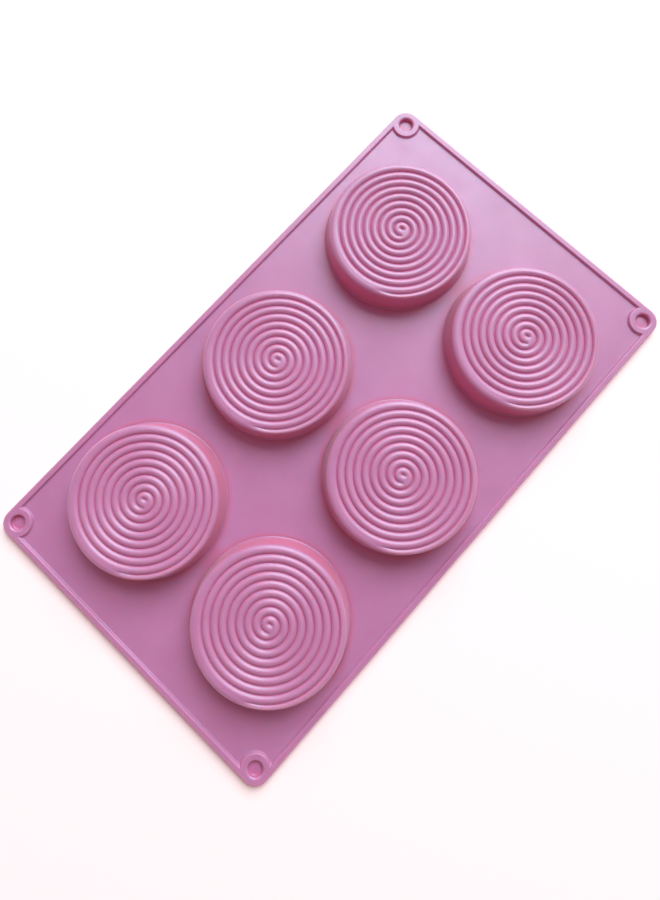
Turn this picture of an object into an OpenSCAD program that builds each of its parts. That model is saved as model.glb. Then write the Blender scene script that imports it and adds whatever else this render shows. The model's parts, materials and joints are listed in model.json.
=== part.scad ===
// Silicone mould for six round soaps: a flanged web with six cavities.
// It lies mouth down, as it does while the soaps are pushed out of it, so the
// flat mouth face is at Z = 0 and the cavity floors are on top. X is the long
// side. All sizes are in millimetres.

/* [Tray] */
// Length of the mould along X
tray_length = 295; // [290:1:320]
// Width of the mould along Y
tray_width = 172; // [170:1:190]
// Thickness of the web between the cavities
web_thickness = 2; // [1.6:0.1:2.4]

/* [Rim bead] */
// Width of the raised bead along the sides
bead_width = 3; // [2:0.1:4]
// Height of the bead above the mouth face
bead_height = 3.2; // [2.8:0.1:4]
// Radius of the bead's two upper edges
bead_edge_radius = 0.6; // [0.3:0.1:0.9]

/* [Corner bosses] */
// Radius of each boss, which is also the mould's corner radius
boss_radius = 7; // [6.5:0.1:8]
// Radius of the blind locating pocket in each boss
pocket_radius = 3.5; // [2.5:0.1:4]
// Silicone left under each pocket
pocket_floor = 1; // [0.8:0.1:1.3]
// Depth of the dished lead-in round each pocket
pocket_dish_depth = 0.3; // [0.2:0.1:0.8]
// Width of the dished lead-in round each pocket
pocket_dish_width = 0.8; // [0.5:0.1:1.5]

/* [Cavities] */
// Spacing of the cavities along X
cavity_spacing_x = 89.5; // [80:0.5:91]
// Spacing of the cavities along Y
cavity_spacing_y = 80; // [77:0.5:82]
// Height of the cavities above the mouth face
cavity_height = 16; // [15:0.5:25]
// Outer radius of a cavity wall where it leaves the web
base_radius = 36.8; // [36.4:0.1:38]
// Outer radius of a cavity wall at its shoulder
shoulder_radius = 35.4; // [35:0.1:35.8]
// Rounding of the shoulder between wall and floor
shoulder_rounding = 2.4; // [1:0.1:2.5]
// Thickness of the cavity wall
wall_thickness = 1.6; // [1.4:0.1:1.8]

/* [Spiral relief] */
// Distance from one turn of the spiral rib to the next
rib_pitch = 3.8; // [3.6:0.05:4]
// Height of the rib above the grooves beside it
rib_height = 1; // [0.5:0.05:1.1]
// Radius of the rib's rounded top
rib_radius = 2; // [1.95:0.05:2.4]
// Depth of the matching channel on the inside, which shapes the soap
channel_depth = 0.7; // [0.4:0.05:0.8]
// Radius of the inside channel's rounded bottom
channel_radius = 1.6; // [1.4:0.05:1.8]
// Thickness of the cavity floor under a groove
floor_thickness = 1.5; // [1.3:0.1:1.8]
// Direction from the cavity's centre in which the spiral's middle rib starts
rib_start_angle = 180; // [0:5:355]
// Radius of the part of the floor that is pushed in
floor_radius = 32.7; // [31:0.1:32.8]

/* [Hidden] */
columns = 3;
rows = 2;
cavity_count = columns * rows;
corner_names = ["front_left", "front_right", "back_left", "back_right"];
side_names = ["front", "back", "left", "right"];
$fn = 128;

silicone = [0.80, 0.53, 0.72];
silicone_light = [0.86, 0.62, 0.79];
silicone_deep = [0.74, 0.45, 0.64];

// Where a boss's centre lies, and how far its bead stubs reach from there.
boss_x = tray_length / 2 - boss_radius;
boss_y = tray_width / 2 - boss_radius;
stub_length = sqrt(pow(boss_radius, 2) - pow(boss_radius - bead_width, 2));

// Levels of the cavity floor, from its outside to its inside.
shoulder_level = cavity_height - shoulder_rounding;
groove_level = cavity_height - rib_height;
inside_level = groove_level - floor_thickness;

// The cavity wall's inside, parallel to its drafted outside.
mouth_radius = base_radius - wall_thickness;
inside_radius = shoulder_radius - wall_thickness;
inside_rounding = 0.6;

// The floor's edge is slightly conical, so that it leaves its seat as it moves in.
floor_taper = 0.4;
floor_gap = 0.15;

// The relief is cut from a disc a little wider than the floor.
relief_reach = floor_radius + rib_pitch;
rib_turns = ceil(relief_reach / rib_pitch);
margin = 1;

function cavity_x(i) = (((i - 1) % columns) - (columns - 1) / 2) * cavity_spacing_x;
function cavity_y(i) = (floor((i - 1) / columns) - (rows - 1) / 2) * cavity_spacing_y;

// A rectangle standing on the X axis, with its two upper corners rounded.
module bead_section(width, height, rounding) {
    square([width, height - rounding]);
    translate([rounding, 0])
        square([width - 2 * rounding, height]);
    for (x = [rounding, width - rounding])
        translate([x, height - rounding])
            circle(r = rounding);
}

// A straight run of bead centred on the origin, along X, its outer face at Y = 0.
module bead_run(length) {
    translate([-length / 2, 0, 0])
        rotate([90, 0, 90])
            linear_extrude(height = length)
                bead_section(bead_width, bead_height, bead_edge_radius);
}

// One side's bead, from one corner's stub to the next. Front and back run along X.
module rim_bead(side) {
    along_x = side == "front" || side == "back";
    corner_distance = along_x ? boss_x : boss_y;
    edge_distance = along_x ? tray_width / 2 : tray_length / 2;
    turn = side == "front" ? 0 : side == "back" ? 180 : side == "left" ? -90 : 90;
    color(silicone_light)
        rotate([0, 0, turn])
            translate([0, -edge_distance, 0])
                bead_run(2 * (corner_distance - stub_length));
}

// Half of the boss's round section, from its axis outwards.
module boss_section() {
    square([boss_radius, bead_height - bead_edge_radius]);
    square([boss_radius - bead_edge_radius, bead_height]);
    translate([boss_radius - bead_edge_radius, bead_height - bead_edge_radius])
        circle(r = bead_edge_radius);
}

// One bead stub, from the boss's centre line to the bead's end, along +X.
module bead_stub() {
    translate([stub_length / 2, -boss_radius, 0])
        bead_run(stub_length);
}

// The front left corner; the other three are its mirror images.
module boss_body() {
    difference() {
        union() {
            rotate_extrude()
                boss_section();
            bead_stub();
            mirror([1, -1, 0])
                bead_stub();
        }
        translate([0, 0, pocket_floor])
            cylinder(r = pocket_radius, h = bead_height);
        translate([0, 0, bead_height - pocket_dish_depth])
            cylinder(r1 = pocket_radius, r2 = pocket_radius + pocket_dish_width, h = pocket_dish_depth);
    }
}

module corner_boss(corner) {
    at_right = corner == "front_right" || corner == "back_right";
    at_back = corner == "back_left" || corner == "back_right";
    color(silicone_light)
        mirror([at_right ? 1 : 0, 0, 0])
            mirror([0, at_back ? 1 : 0, 0])
                translate([-boss_x, -boss_y, 0])
                    boss_body();
}

module web() {
    color(silicone)
        linear_extrude(height = web_thickness)
            difference() {
                square([tray_length - 2 * bead_width, tray_width - 2 * bead_width], center = true);
                for (x = [-boss_x, boss_x])
                    for (y = [-boss_y, boss_y])
                        translate([x, y])
                            circle(r = boss_radius);
                for (i = [1 : cavity_count])
                    translate([cavity_x(i), cavity_y(i)])
                        circle(r = base_radius);
            }
}

// Half of the cup's outside: drafted wall, rounded shoulder, flat top.
module cup_outside_section() {
    polygon([
        [0, 0],
        [base_radius, 0],
        [base_radius, web_thickness],
        [shoulder_radius, shoulder_level],
        [0, shoulder_level]
    ]);
    square([shoulder_radius - shoulder_rounding, cavity_height]);
    translate([shoulder_radius - shoulder_rounding, shoulder_level])
        circle(r = shoulder_rounding);
}

// Half of the space inside the cup, open downwards.
module cup_inside_section() {
    polygon([
        [0, -margin],
        [mouth_radius, -margin],
        [mouth_radius, web_thickness],
        [inside_radius, inside_level - inside_rounding],
        [0, inside_level - inside_rounding]
    ]);
    square([inside_radius - inside_rounding, inside_level]);
    translate([inside_radius - inside_rounding, inside_level - inside_rounding])
        circle(r = inside_rounding);
}

// Half of the floor's conical edge, grown by the given clearance.
module floor_edge_section(clearance, low, high) {
    polygon([
        [0, low],
        [floor_radius + floor_taper + clearance, low],
        [floor_radius + clearance, high],
        [0, high]
    ]);
}

module cavity_wall(i) {
    color(silicone)
        translate([cavity_x(i), cavity_y(i), 0])
            rotate_extrude()
                difference() {
                    cup_outside_section();
                    cup_inside_section();
                    floor_edge_section(floor_gap, inside_level - margin, cavity_height + margin);
                }
}

// Half of the floor's section through ribs at the given first radius, one pitch apart.
module relief_section(first_rib) {
    difference() {
        union() {
            translate([0, inside_level])
                square([relief_reach, floor_thickness]);
            intersection() {
                for (turn = [0 : rib_turns])
                    translate([first_rib + turn * rib_pitch, cavity_height - rib_radius])
                        circle(r = rib_radius);
                translate([0, groove_level - rib_height])
                    square([relief_reach, 2 * rib_height]);
            }
        }
        for (turn = [0 : rib_turns])
            translate([first_rib + turn * rib_pitch, inside_level + channel_depth - channel_radius])
                circle(r = channel_radius);
    }
}

// A spiral made of half turns: the two halves have their centres half a pitch
// apart, so that each rib of one half meets the next rib of the other.
module spiral_relief() {
    translate([rib_pitch / 4, 0, 0])
        rotate_extrude(angle = 180)
            relief_section(0);
    translate([-rib_pitch / 4, 0, 0])
        rotate([0, 0, 180])
            rotate_extrude(angle = 180)
                relief_section(rib_pitch / 2);
}

module cavity_floor(i) {
    color(silicone_deep)
        translate([cavity_x(i), cavity_y(i), 0])
            intersection() {
                rotate([0, 0, rib_start_angle])
                    spiral_relief();
                rotate_extrude()
                    floor_edge_section(0, inside_level, cavity_height);
            }
}

web();
for (side = side_names)
    rim_bead(side);
for (corner = corner_names)
    corner_boss(corner);
for (i = [1 : cavity_count])
    cavity_wall(i);
for (i = [1 : cavity_count])
    cavity_floor(i);
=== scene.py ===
"""Looks of the silicone soap mould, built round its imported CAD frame. Lengths are in metres."""
import json
import math

import bmesh
import bpy
import numpy as np
from mathutils import Matrix, Vector


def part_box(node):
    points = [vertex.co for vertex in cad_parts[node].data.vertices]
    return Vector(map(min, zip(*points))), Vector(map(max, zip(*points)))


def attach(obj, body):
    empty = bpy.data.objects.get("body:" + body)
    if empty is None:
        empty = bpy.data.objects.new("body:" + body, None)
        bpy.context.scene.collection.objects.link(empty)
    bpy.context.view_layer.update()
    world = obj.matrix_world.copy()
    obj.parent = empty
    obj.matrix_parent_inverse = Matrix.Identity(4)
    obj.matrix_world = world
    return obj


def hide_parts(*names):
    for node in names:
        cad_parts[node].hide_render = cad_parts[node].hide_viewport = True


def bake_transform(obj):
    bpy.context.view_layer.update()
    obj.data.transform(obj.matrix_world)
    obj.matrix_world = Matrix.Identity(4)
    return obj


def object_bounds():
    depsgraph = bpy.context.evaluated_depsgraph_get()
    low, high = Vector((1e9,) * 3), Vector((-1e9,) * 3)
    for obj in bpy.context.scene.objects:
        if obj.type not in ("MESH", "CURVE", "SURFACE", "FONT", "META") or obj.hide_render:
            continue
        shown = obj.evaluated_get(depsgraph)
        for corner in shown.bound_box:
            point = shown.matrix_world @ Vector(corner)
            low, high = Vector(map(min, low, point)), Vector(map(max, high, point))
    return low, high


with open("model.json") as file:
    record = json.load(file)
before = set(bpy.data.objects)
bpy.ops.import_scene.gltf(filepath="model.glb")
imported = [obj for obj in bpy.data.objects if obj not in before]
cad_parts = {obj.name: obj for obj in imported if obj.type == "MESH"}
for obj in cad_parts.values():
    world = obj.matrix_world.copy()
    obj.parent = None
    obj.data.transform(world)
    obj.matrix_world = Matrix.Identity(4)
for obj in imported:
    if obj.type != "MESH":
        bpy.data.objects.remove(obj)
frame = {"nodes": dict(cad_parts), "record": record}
cad_low, cad_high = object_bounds()

MM = 0.001
TAU = 2 * math.pi

# The tray, as its CAD nodes give it.
HALF_LENGTH, HALF_WIDTH = cad_high.x, cad_high.y
bead_low, bead_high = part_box("rim_bead_front")
boss_low, boss_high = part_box("corner_boss_front_left")
WEB_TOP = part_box("web")[1].z
BEAD_TOP = bead_high.z
BEAD_WIDTH = bead_high.y - bead_low.y
BOSS_RADIUS = (boss_high.x - boss_low.x) / 2
BOSS_X, BOSS_Y = HALF_LENGTH - BOSS_RADIUS, HALF_WIDTH - BOSS_RADIUS
POCKETS = [m for m in frame["record"]["mounts"] if m["kind"] == "bore"]
POCKET_RADIUS = POCKETS[0]["dims"]["r_mm"] * MM

# The cups: a drafted wall, a rounded shoulder and a floor with a spiral rib.
CUP_COUNT = 6
wall_low, wall_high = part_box("cavity_wall_1")
CUP_TOP = wall_high.z
INSIDE_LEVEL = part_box("cavity_floor_1")[0].z
BASE_RADIUS = (wall_high.x - wall_low.x) / 2
SHOULDER_RADIUS = BASE_RADIUS - 1.4 * MM
SHOULDER_ROUNDING = 2.4 * MM
WALL_THICKNESS = 1.6 * MM
FOOT_FILLET = 0.8 * MM
SEAM_RADIUS = BASE_RADIUS + 0.8 * MM
RELIEF_RADIUS = 34.2 * MM
INSIDE_RELIEF_RADIUS = 33.2 * MM

# The spiral groove starts in the shoulder and runs inwards as its angle grows.
PITCH = 3.81 * MM
GROOVE_START_RADIUS = 33.1 * MM
GROOVE_START_ANGLE = math.radians(-163)
GROOVE_FADE_ANGLE = math.radians(22)
RIB_RADIUS = 1.98 * MM
GROOVE_ROUNDING = 0.12 * MM
CHANNEL_RADIUS = 1.6 * MM
CHANNEL_DEPTH = 0.7 * MM

# Within EYE_REACH of the middle the groove runs out in a straighter tail, and a short pit lies
# inside the rib's last curl. Each point is x, y and how much shallower the groove is there, in
# millimetres from the cup's centre.
EYE_REACH = 9 * MM
GROOVE_TAIL_TURNED = math.radians(2813)
GROOVE_TAIL = (
    (-2.14, 2.55, 0), (-2.72, 1.75, 0), (-3.02, 0.90, 0), (-3.08, 0.00, 0),
    (-2.92, -0.90, 0.05), (-2.60, -1.70, 0.2), (-2.20, -2.35, 0.5),
)
EYE_PIT = ((0.87, 0.35, 0.1), (1.05, -0.25, 0), (1.20, -0.85, 0.15))

# Edges that turn by more than this are shaded sharp: only the hidden cup seams do.
SHARP_ANGLE = math.radians(60)

# Steps round a cup, and across one turn of the rib, closer together at the groove. The spiral
# strip ends at MIDDLE_RADIUS, and CENTRE_RINGS fill the middle.
STEPS = 144
ACROSS = (0.0, 0.045, 0.11, 0.21, 0.35, 0.5, 0.65, 0.79, 0.89, 0.955)
MIDDLE_RADIUS = 0.6 * PITCH
CENTRE_RINGS = 18

# A flat face starts this far past its rounded edge, which keeps its shading flat.
GUARD = 0.15 * MM

# The rim: the tray's lower and upper edge roundings, half the width of the bead's soft inner
# slope, and how often the foot of that slope is smoothed in plan.
LOWER_ROUNDING = 0.35 * MM
UPPER_ROUNDING = 0.6 * MM
SLOPE_REACH = 0.55 * MM
EDGE_SMOOTHINGS = 3

# A boss's pocket: its dished lead-in, its rounded foot and its slightly crowned floor.
LEAD_IN_RADIUS = 4.5 * MM
DISH_DEPTH = 0.3 * MM
POCKET_ROUNDING = 0.6 * MM
POCKET_FLOOR = 0.95 * MM
POCKET_CROWN = 1.06 * MM
POCKET_STEPS = 72


def smoothstep(t):
    """0 below 0, 1 above 1, and smooth between."""
    t = np.clip(t, 0, 1)
    return t * t * (3 - 2 * t)


def arc(centre, radius, start, end, count):
    """Points (a, b) on an arc in a plane, from start to end in degrees, both included."""
    turns = np.radians(np.linspace(start, end, count))
    return [(centre[0] + radius * math.cos(t), centre[1] + radius * math.sin(t)) for t in turns]


class Shell:
    """A mesh gathered from rings of points, each ring closed on itself."""

    def __init__(self):
        self.points = []
        self.faces = []

    def add(self, points):
        """Adds points and gives back their indices."""
        first = len(self.points)
        self.points += [tuple(map(float, p)) for p in points]
        return list(range(first, len(self.points)))

    def bridge(self, ring_a, ring_b):
        """Joins two rings of the same length with quads."""
        for i in range(len(ring_a)):
            j = (i + 1) % len(ring_a)
            self.faces.append((ring_a[i], ring_a[j], ring_b[j], ring_b[i]))

    def loft(self, rings):
        """Joins each ring to the next."""
        for ring_a, ring_b in zip(rings, rings[1:]):
            self.bridge(ring_a, ring_b)

    def fan(self, ring, tip):
        """Closes a ring with triangles to one point."""
        for i in range(len(ring)):
            self.faces.append((ring[i], ring[(i + 1) % len(ring)], tip))

    def build(self, name, flat_rings=()):
        """The finished object. Each group in flat_rings bounds one flat face with holes."""
        mesh = bpy.data.meshes.new(name)
        mesh.from_pydata(self.points, [], self.faces)
        work = bmesh.new()
        work.from_mesh(mesh)
        work.verts.ensure_lookup_table()
        for group in flat_rings:
            edges = []
            for ring in group:
                for i in range(len(ring)):
                    pair = (work.verts[ring[i]], work.verts[ring[(i + 1) % len(ring)]])
                    edges.append(work.edges.get(pair) or work.edges.new(pair))
            bmesh.ops.triangle_fill(work, use_beauty=True, use_dissolve=False, edges=edges)
        bmesh.ops.recalc_face_normals(work, faces=work.faces)
        for face in work.faces:
            face.smooth = True
        for edge in work.edges:
            edge.smooth = edge.calc_face_angle(0) < SHARP_ANGLE
        work.to_mesh(mesh)
        work.free()
        piece = bpy.data.objects.new(name, mesh)
        bpy.context.scene.collection.objects.link(piece)
        return piece


# ---------------------------------------------------------------- the relief

def rib_depth(distance):
    """How far the rib's round top has fallen, at a distance from the nearest groove."""
    eased = np.sqrt(distance ** 2 + GROOVE_ROUNDING ** 2)
    from_crest = np.clip(PITCH / 2 - eased, 0, None)
    return RIB_RADIUS - np.sqrt(RIB_RADIUS ** 2 - from_crest ** 2)


def channel_rise(distance):
    """Depth of the channel inside, which lies under the rib's crest."""
    from_crest = np.abs(PITCH / 2 - distance)
    bow = CHANNEL_RADIUS - np.sqrt(np.clip(CHANNEL_RADIUS ** 2 - from_crest ** 2, 0, None))
    return np.clip(CHANNEL_DEPTH - bow, 0, None)


def shoulder_level(radius):
    """The cup's outside above a radius, before the relief is cut."""
    past = np.clip(radius - (SHOULDER_RADIUS - SHOULDER_ROUNDING), 0, SHOULDER_ROUNDING)
    return CUP_TOP - SHOULDER_ROUNDING + np.sqrt(SHOULDER_ROUNDING ** 2 - past ** 2)


def outside_level(radius, distance, strength):
    """Height of the outside at a distance from the nearest groove."""
    return shoulder_level(radius) - rib_depth(distance) * strength


def inside_level(radius, distance, strength):
    """Height of the inside, whose channels lie under the ribs. It is flat near its wall."""
    has_channel = radius < GROOVE_START_RADIUS - PITCH / 2
    return INSIDE_LEVEL + channel_rise(distance) * strength * has_channel


def groove_strength(turned):
    """0 where the groove starts in the shoulder, rising to 1."""
    return smoothstep(turned / GROOVE_FADE_ANGLE)


def groove_radius(turned):
    """Radius of the groove once it has turned by an angle."""
    return GROOVE_START_RADIUS - PITCH * turned / TAU


def eye_lines():
    """Starts and ends of the segments of the groove's last turns, its tail and the pit."""
    turns = np.arange(5 * TAU, GROOVE_TAIL_TURNED, math.radians(5))
    angles = GROOVE_START_ANGLE + turns
    radii = groove_radius(turns)
    spiral = np.stack([radii * np.cos(angles), radii * np.sin(angles), 0 * turns], 1)
    groove = np.concatenate([spiral, np.array(GROOVE_TAIL) * MM])
    pit = np.array(EYE_PIT) * MM
    return np.concatenate([groove[:-1], pit[:-1]]), np.concatenate([groove[1:], pit[1:]])


EYE_STARTS, EYE_ENDS = eye_lines()


def eye_distance(x, y):
    """Distance from a point to the nearest of those segments, more where they are shallow."""
    along = (EYE_ENDS - EYE_STARTS)[:, :2]
    offset = np.array((x, y)) - EYE_STARTS[:, :2]
    share = np.clip((offset * along).sum(1) / (along ** 2).sum(1), 0, 1)
    shallow = EYE_STARTS[:, 2] * (1 - share) + EYE_ENDS[:, 2] * share
    return (np.hypot(*(offset - along * share[:, None]).T) + shallow).min()


def relief(shell, rim_radius, level):
    """A round patch with the spiral on it. It gives back its rim, a ring of STEPS points."""

    def spot(radius, angle, distance, strength):
        x, y = radius * math.cos(angle), radius * math.sin(angle)
        if radius < EYE_REACH:
            distance, strength = eye_distance(x, y), 1
        return (x, y, level(radius, distance, strength))

    def turned(i):
        return TAU * i / STEPS

    def angle(i):
        return GROOVE_START_ANGLE + turned(i)

    count = len(ACROSS)
    lines = int((GROOVE_START_RADIUS - MIDDLE_RADIUS) / PITCH * STEPS)
    cells = lines - STEPS
    strip = []
    for i in range(lines + 1):
        row = []
        for share in ACROSS if i <= cells else ACROSS[:1]:
            near = min(share, 1 - share) * PITCH
            strength = groove_strength(turned(i) if share < 0.5 else turned(i + STEPS))
            row.append(spot(groove_radius(turned(i)) - PITCH * share, angle(i), near, strength))
        strip.append(shell.add(row))
    for i in range(cells):
        here = strip[i] + [strip[i + STEPS][0]]
        ahead = strip[i + 1] + [strip[i + 1 + STEPS][0]]
        for k in range(count):
            shell.faces.append((here[k], here[k + 1], ahead[k + 1], ahead[k]))

    # Outside the first turn, rows spread from its start until they meet the second turn.
    gap = [[strip[0][0]] * (count + 1)]
    for i in range(1, STEPS):
        row = []
        for share in ACROSS:
            radius = GROOVE_START_RADIUS - PITCH * share * i / STEPS
            near = radius - groove_radius(turned(i))
            row.append(spot(radius, angle(i), near, groove_strength(turned(i))))
        gap.append(shell.add(row) + [strip[i][0]])
    gap.append(strip[0] + [strip[STEPS][0]])
    for i in range(STEPS):
        for k in range(count):
            corners = (gap[i][k], gap[i][k + 1], gap[i + 1][k + 1], gap[i + 1][k])
            shell.faces.append(tuple(dict.fromkeys(corners)))
    rim = shell.add(spot(rim_radius, angle(i), PITCH, 0) for i in range(STEPS))
    shell.bridge(rim, [gap[i][0] for i in range(STEPS)])

    # The middle: the last turn's edge, drawn in towards the centre.
    edge = [strip[i][0] for i in range(cells, lines + 1)] + strip[cells][:0:-1]
    plan = [shell.points[v][:2] for v in edge]
    polar = [(math.hypot(x, y), math.atan2(y, x)) for x, y in plan]
    rings = [edge]
    for k in range(1, CENTRE_RINGS):
        keep = 1 - k / CENTRE_RINGS
        rings.append(shell.add(spot(keep * radius, turn, 0, 1) for radius, turn in polar))
    shell.loft(rings)
    shell.fan(rings[-1], shell.add([spot(0, 0, 0, 1)])[0])
    return rim


def revolve(shell, centre, profile):
    """Rings round a vertical axis through (radius, height) points, in step with the relief."""
    turns = [GROOVE_START_ANGLE + TAU * i / STEPS for i in range(STEPS)]
    rings = []
    for radius, height in profile:
        rings.append(shell.add(
            (centre[0] + radius * math.cos(t), centre[1] + radius * math.sin(t), height)
            for t in turns
        ))
    return rings


def outside_profile():
    """The cup's outside, from its seam in the web up to the relief."""
    draft = math.atan2(BASE_RADIUS - SHOULDER_RADIUS, CUP_TOP - SHOULDER_ROUNDING - WEB_TOP)
    along = FOOT_FILLET * (1 - math.sin(draft)) / math.cos(draft)
    fillet_x = BASE_RADIUS - along * math.sin(draft) + FOOT_FILLET * math.cos(draft)
    foot = arc((fillet_x, WEB_TOP + FOOT_FILLET), FOOT_FILLET, 270, 180 + math.degrees(draft), 7)
    shoulder_centre = (SHOULDER_RADIUS - SHOULDER_ROUNDING, CUP_TOP - SHOULDER_ROUNDING)
    last = math.degrees(math.acos((RELIEF_RADIUS - shoulder_centre[0]) / SHOULDER_ROUNDING))
    shoulder = arc(shoulder_centre, SHOULDER_ROUNDING, math.degrees(draft), last, 9)[:-1]
    foot_end, wall_end = np.array(foot[-1]), np.array(shoulder[0])
    wall = [tuple(foot_end + (wall_end - foot_end) * s) for s in np.linspace(0, 1, 9)[1:-1]]
    return [(SEAM_RADIUS, WEB_TOP)] + foot + wall + shoulder


def mouth_profile():
    """From the inside relief down the cup's inside, round the lip and out to the seam."""
    rounding, lip = 0.5 * MM, 0.5 * MM
    top_radius = SHOULDER_RADIUS - WALL_THICKNESS
    mouth_radius = BASE_RADIUS - WALL_THICKNESS
    corner = arc((top_radius - rounding, INSIDE_LEVEL - rounding), rounding, 85, 5, 7)
    low = (mouth_radius, WEB_TOP)
    high = np.array(corner[-1])
    wall = [tuple(high + (np.array(low) - high) * s) for s in np.linspace(0, 1, 8)[1:]]
    rim = arc((mouth_radius + lip, lip), lip, 180, 270, 5)
    return corner + wall + rim + [(SEAM_RADIUS, 0.0)]


def cup_shell():
    """One cavity round the origin: wall, shoulder and floor in one closed skin."""
    shell = Shell()
    outer = revolve(shell, (0, 0), outside_profile())
    outer += [relief(shell, RELIEF_RADIUS, outside_level)]
    inner = [relief(shell, INSIDE_RELIEF_RADIUS, inside_level)]
    inner += revolve(shell, (0, 0), mouth_profile())
    shell.loft(outer)
    shell.loft(inner)
    shell.bridge(inner[-1], outer[0])
    return shell


def cup_centre(number):
    """Where a cavity's axis stands."""
    low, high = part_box(f"cavity_wall_{number}")
    return ((low.x + high.x) / 2, (low.y + high.y) / 2)


# ---------------------------------------------------------------- the web and its rim

def side_steps(length):
    """Distances along half a straight side, fine near its end."""
    fine = np.arange(0.5, 6, 0.5) * MM
    coarse = np.linspace(7 * MM, length, 12)
    return list(fine) + list(coarse)


def outline(inset, height):
    """The tray's outer edge, drawn in by inset."""
    points = []
    for quarter, (sx, sy) in enumerate(((1, 1), (-1, 1), (-1, -1), (1, -1))):
        centre = (sx * BOSS_X, sy * BOSS_Y)
        points += arc(centre, BOSS_RADIUS - inset, 90 * quarter, 90 * quarter + 90, 17)
    return [(x, y, height) for x, y in points]


def inner_edge(grow, height):
    """The foot of the bead and bosses, moved towards the middle of the web by grow."""
    drop = BOSS_RADIUS - BEAD_WIDTH - grow
    reach = math.sqrt((BOSS_RADIUS + grow) ** 2 - drop ** 2)
    turn = math.degrees(math.atan2(drop, reach))
    corner = arc((-BOSS_X, -BOSS_Y), BOSS_RADIUS + grow, 90 + turn, -turn, 45)
    end_x, end_y = corner[-1]
    start_x, start_y = corner[0]
    front = [(end_x + s, end_y) for s in side_steps(-end_x)]
    left = [(start_x, start_y + s) for s in side_steps(-start_y)]
    quarter = np.array(left[::-1] + corner + front)
    mirror_x = quarter[::-1][1:] * (-1, 1)
    half = np.concatenate([quarter, mirror_x])
    loop = np.concatenate([half, (half[::-1] * (1, -1))[1:-1]])
    for _ in range(EDGE_SMOOTHINGS):
        middle = (np.roll(loop, 1, 0) + np.roll(loop, -1, 0)) / 2
        loop = (loop + middle) / 2
    return [(x, y, height) for x, y in loop]


def pocket_profile():
    """A boss's pocket, from its dished lead-in down to its rounded floor."""
    dish_low = BEAD_TOP - DISH_DEPTH
    wall_foot = POCKET_RADIUS - 0.1 * MM
    foot_centre = wall_foot - POCKET_ROUNDING
    rim = [(LEAD_IN_RADIUS + GUARD, BEAD_TOP),
           (LEAD_IN_RADIUS, BEAD_TOP),
           (LEAD_IN_RADIUS - 0.25 * MM, BEAD_TOP - 0.04 * MM),
           (LEAD_IN_RADIUS - 0.5 * MM, BEAD_TOP - 0.13 * MM)]
    slope = [(POCKET_RADIUS + 0.25 * MM, dish_low + 0.02 * MM),
             (POCKET_RADIUS + 0.08 * MM, dish_low - 0.12 * MM),
             (POCKET_RADIUS, dish_low - 0.3 * MM)]
    foot = arc((foot_centre, POCKET_FLOOR + POCKET_ROUNDING), POCKET_ROUNDING, 0, -90, 7)
    floor = [(foot_centre - 0.8 * MM, POCKET_FLOOR + 0.03 * MM),
             (foot_centre - 1.4 * MM, POCKET_FLOOR + 0.05 * MM)]
    return rim + slope + foot + floor


def make_tray():
    """The web with its raised bead and the four corner bosses, one closed skin."""
    shell = Shell()
    lower = arc((-LOWER_ROUNDING, LOWER_ROUNDING), LOWER_ROUNDING, -90, 0, 4)
    upper = arc((-UPPER_ROUNDING, BEAD_TOP - UPPER_ROUNDING), UPPER_ROUNDING, 0, 90, 6)
    side = [outline(-x, z) for x, z in lower + upper]
    side = [outline(LOWER_ROUNDING + GUARD, 0.0)] + side
    side += [outline(UPPER_ROUNDING + GUARD, BEAD_TOP)]
    outer = [shell.add(ring) for ring in side]
    shell.loft(outer)
    slope = [(SLOPE_REACH * (2 * t - 1), BEAD_TOP + (WEB_TOP - BEAD_TOP) * smoothstep(t))
             for t in np.linspace(0, 1, 11)]
    step = [(slope[0][0] - GUARD, BEAD_TOP)] + slope + [(slope[-1][0] + GUARD, WEB_TOP)]
    inner = [shell.add(inner_edge(grow, z)) for grow, z in step]
    shell.loft(inner)
    turns = [TAU * i / POCKET_STEPS for i in range(POCKET_STEPS)]
    pocket_rims = []
    for pocket in POCKETS:
        px, py = pocket["pos_m"][:2]
        rings = [shell.add((px + r * math.cos(t), py + r * math.sin(t), z) for t in turns)
                 for r, z in pocket_profile()]
        shell.loft(rings)
        shell.fan(rings[-1], shell.add([(px, py, POCKET_CROWN)])[0])
        pocket_rims.append(rings[0])
    seam_tops, seam_feet = [], []
    for number in range(1, CUP_COUNT + 1):
        seam = [(SEAM_RADIUS, WEB_TOP), (SEAM_RADIUS, 0.0)]
        top, bottom = revolve(shell, cup_centre(number), seam)
        shell.bridge(top, bottom)
        seam_tops.append(top)
        seam_feet.append(bottom)
    bead_flat = [outer[-1], inner[0]] + pocket_rims
    web_flat = [inner[-1]] + seam_tops
    mouth_flat = [outer[0]] + seam_feet
    return shell.build("web_and_rim", [bead_flat, web_flat, mouth_flat])


# ---------------------------------------------------------------- materials

# Linear colours of the silicone: its mottling, a painted highlight on its thin crests, and
# painted shade on the cups' walls and in creases low down and elsewhere. Light that passes
# through the silicone turns it crimson, and the painted shade is crimson for that.
PINK_DEEP = (0.468, 0.218, 0.425, 1)
PINK_LIGHT = (0.508, 0.248, 0.468, 1)
CREST_PAINTED_HIGHLIGHT = (0.590, 0.330, 0.500, 1)
WALL_PAINTED_SHADE = (0.660, 0.120, 0.228, 1)
FOOT_PAINTED_SHADE = (0.680, 0.055, 0.110, 1)
CREASE_PAINTED_SHADE = (0.600, 0.115, 0.280, 1)
OCCLUSION_SAMPLES = 16

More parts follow.
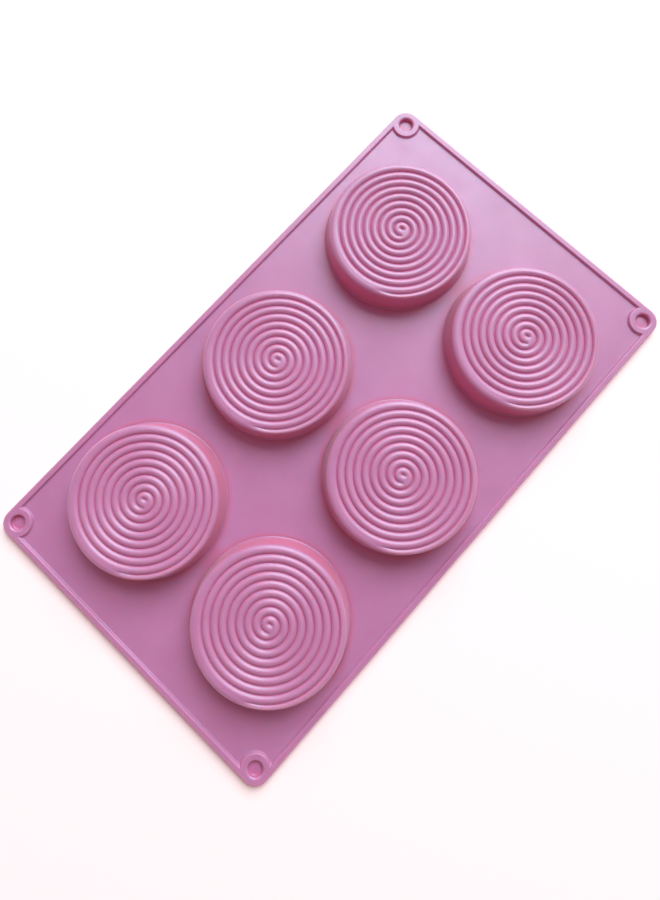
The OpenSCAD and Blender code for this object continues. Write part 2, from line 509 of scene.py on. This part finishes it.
# What is the same all over the silicone.
SILICONE_SHADER = {
    "IOR": 1.53,
    "Specular IOR Level": 1.0,
    "Specular Tint": (0.65, 0.88, 1.0, 1),
    "Sheen Weight": 0.15,
    "Sheen Roughness": 0.5,
    "Sheen Tint": (0.45, 1.0, 0.85, 1),
    "Subsurface Weight": 1.0,
    "Subsurface Radius": (1.0, 0.3, 0.3),
    "Subsurface Scale": 1.5 * MM,
}


def silicone(name):
    """Satin pink silicone: slightly translucent, with a fine moulded grain, faint mottling, a
    painted highlight on thin crests and painted crimson shade on walls and in creases.
    """
    material = bpy.data.materials.new(name)
    material.use_nodes = True
    nodes, links = material.node_tree.nodes, material.node_tree.links
    shader = nodes["Principled BSDF"]
    shader.subsurface_method = "RANDOM_WALK"
    for socket, value in SILICONE_SHADER.items():
        shader.inputs[socket].default_value = value
    place = nodes.new("ShaderNodeTexCoord")

    def feed(socket, value):
        """Links a socket to another one, or gives it a fixed value."""
        if isinstance(value, bpy.types.NodeSocket):
            links.new(value, socket)
        else:
            socket.default_value = value

    def noise(scale, detail):
        node = nodes.new("ShaderNodeTexNoise")
        node.inputs["Scale"].default_value = scale
        node.inputs["Detail"].default_value = detail
        links.new(place.outputs["Object"], node.inputs["Vector"])
        return node.outputs["Fac"]

    def openness(distance, inside=False):
        """1 where nothing is near the surface, within a distance outside it or inside it."""
        node = nodes.new("ShaderNodeAmbientOcclusion")
        node.inside = inside
        node.inputs["Distance"].default_value = distance
        node.samples = OCCLUSION_SAMPLES
        return node.outputs["AO"]

    def split(vector):
        node = nodes.new("ShaderNodeSeparateXYZ")
        links.new(vector, node.inputs["Vector"])
        return node.outputs

    def combine(operation, *values):
        node = nodes.new("ShaderNodeMath")
        node.operation = operation
        for socket, value in zip(node.inputs, values):
            links.new(value, socket)
        return node.outputs["Value"]

    def remap(value, low, high, to_low=0.0, to_high=1.0):
        """to_low at low, to_high at high, straight between and held beyond."""
        node = nodes.new("ShaderNodeMapRange")
        for socket, item in zip(("Value", "From Min", "From Max", "To Min", "To Max"),
                                (value, low, high, to_low, to_high)):
            feed(node.inputs[socket], item)
        return node.outputs["Result"]

    def mix(factor, colour_a, colour_b):
        node = nodes.new("ShaderNodeMix")
        node.data_type = "RGBA"
        for socket, item in zip(("Factor", "A", "B"), (factor, colour_a, colour_b)):
            feed(node.inputs[socket], item)
        return node.outputs["Result"]

    def bump(height, strength, distance):
        node = nodes.new("ShaderNodeBump")
        node.inputs["Strength"].default_value = strength
        node.inputs["Distance"].default_value = distance
        links.new(height, node.inputs["Height"])
        return node

    mottling = nodes.new("ShaderNodeValToRGB")
    dark, light = mottling.color_ramp.elements
    dark.position, dark.color = 0.35, PINK_DEEP
    light.position, light.color = 0.68, PINK_LIGHT
    links.new(noise(28, 3), mottling.inputs["Fac"])

    # The painted highlight on crests and the painted shade on walls lie only above the hidden
    # seams between the cups and the web.
    spot = split(place.outputs["Object"])
    raised = remap(spot["Z"], 2.4 * MM, 5.0 * MM)
    # Painted highlight: thin crests, shoulders and edges are paler, as where light catches them.
    crest = remap(openness(1.4 * MM, inside=True), 1.0, 0.8, to_high=raised)
    colour = mix(crest, mottling.outputs["Color"], CREST_PAINTED_HIGHLIGHT)
    # Painted shade: the steep walls all round each cup take the crimson of the cups' shaded
    # sides.
    level = combine("ABSOLUTE", split(place.outputs["Normal"])["Z"])
    steep_wall_shade = remap(level, 0.6, 0.2, to_high=0.65)
    colour = mix(combine("MULTIPLY", steep_wall_shade, raised), colour, WALL_PAINTED_SHADE)

    # Painted crimson shade in creases, reddest at the cups' feet, and less red on the cups and at
    # the tray's ends.
    high = remap(spot["Z"], 8 * MM, 12 * MM)
    outer = remap(combine("ABSOLUTE", spot["X"]), 128 * MM, 134 * MM)
    painted_crease_shade = mix(combine("MAXIMUM", high, outer), FOOT_PAINTED_SHADE, CREASE_PAINTED_SHADE)
    # Painted shade: where other surfaces are near, the colour goes crimson.
    clear_of_painted_shade = remap(openness(6 * MM), 0.4, 0.84)
    links.new(mix(clear_of_painted_shade, painted_crease_shade, colour), shader.inputs["Base Color"])

    links.new(remap(noise(90, 4), 0.3, 0.7, 0.38, 0.46), shader.inputs["Roughness"])
    grain = bump(noise(2600, 2), 0.25, 0.05 * MM)
    swell = bump(noise(140, 2), 0.2, 0.3 * MM)
    links.new(grain.outputs["Normal"], swell.inputs["Normal"])
    links.new(swell.outputs["Normal"], shader.inputs["Normal"])
    return material


def backdrop():
    """Plain pale floor."""
    material = bpy.data.materials.new("pale_floor")
    material.use_nodes = True
    shader = material.node_tree.nodes["Principled BSDF"]
    shader.inputs["Base Color"].default_value = (0.93, 0.98, 0.98, 1)
    shader.inputs["Roughness"].default_value = 0.9
    return material


# ---------------------------------------------------------------- stage

def make_floor():
    """A large square just under the tray."""
    half, level = 4.0, -0.3 * MM
    mesh = bpy.data.meshes.new("floor")
    corners = [(x * half, y * half, level) for x, y in ((-1, -1), (1, -1), (1, 1), (-1, 1))]
    mesh.from_pydata(corners, [], [(0, 1, 2, 3)])
    mesh.materials.append(backdrop())
    floor = bpy.data.objects.new("floor", mesh)
    bpy.context.scene.collection.objects.link(floor)


def area_light(name, position, size, power, colour):
    """A soft square lamp aimed at the middle of the tray."""
    lamp = bpy.data.lights.new(name, "AREA")
    lamp.shape = "SQUARE"
    lamp.size = size
    lamp.energy = power
    lamp.color = colour
    holder = bpy.data.objects.new(name, lamp)
    holder.location = position
    holder.rotation_mode = "QUATERNION"
    holder.rotation_quaternion = (-Vector(position)).to_track_quat("-Z", "Y")
    bpy.context.scene.collection.objects.link(holder)


def make_lights():
    """One broad soft key light from the right and a little behind, and a pink surround."""
    turn, rise, distance = math.radians(24), math.radians(43), 5.0
    key = (distance * math.cos(turn) * math.cos(rise),
           distance * math.sin(turn) * math.cos(rise),
           distance * math.sin(rise))
    area_light("key", key, size=4.0, power=358, colour=(0.95, 0.985, 1.0))
    world = bpy.data.worlds.new("surround")
    world.use_nodes = True
    sky = world.node_tree.nodes["Background"]
    sky.inputs["Color"].default_value = (1.0, 0.46, 0.47, 1)
    sky.inputs["Strength"].default_value = 0.48
    bpy.context.scene.world = world


def make_camera():
    """A wide camera close above the tray, tilted a little, in the photo's upright frame."""
    data = bpy.data.cameras.new("camera")
    data.sensor_fit = "VERTICAL"
    data.sensor_height = 36
    data.sensor_width = 36
    data.lens = 24.4
    data.shift_x = 0.0168
    data.shift_y = -0.0935
    data.clip_start = 0.01
    camera = bpy.data.objects.new("camera", data)
    camera.location = (-0.0225, -0.0104, 0.30242)
    camera.rotation_euler = [math.radians(turn) for turn in (9.538, 0.613, -47.142)]
    bpy.context.scene.collection.objects.link(camera)
    bpy.context.scene.camera = camera


bpy.context.scene.view_settings.view_transform = "Standard"
make_camera()
make_lights()
make_floor()

pink = silicone("pink_silicone")
tray = make_tray()
tray.data.materials.append(pink)
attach(tray, "tray")
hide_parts(*[n for n in frame["nodes"] if not n.startswith("cavity_")])

cavity = cup_shell()
for number in range(1, CUP_COUNT + 1):
    cup_x, cup_y = cup_centre(number)
    cup = cavity.build(f"cavity_{number}")
    cup.data.transform(Matrix.Translation((cup_x, cup_y, 0)))
    cup.data.materials.append(pink)
    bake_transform(cup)
    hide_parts(f"cavity_wall_{number}", f"cavity_floor_{number}")
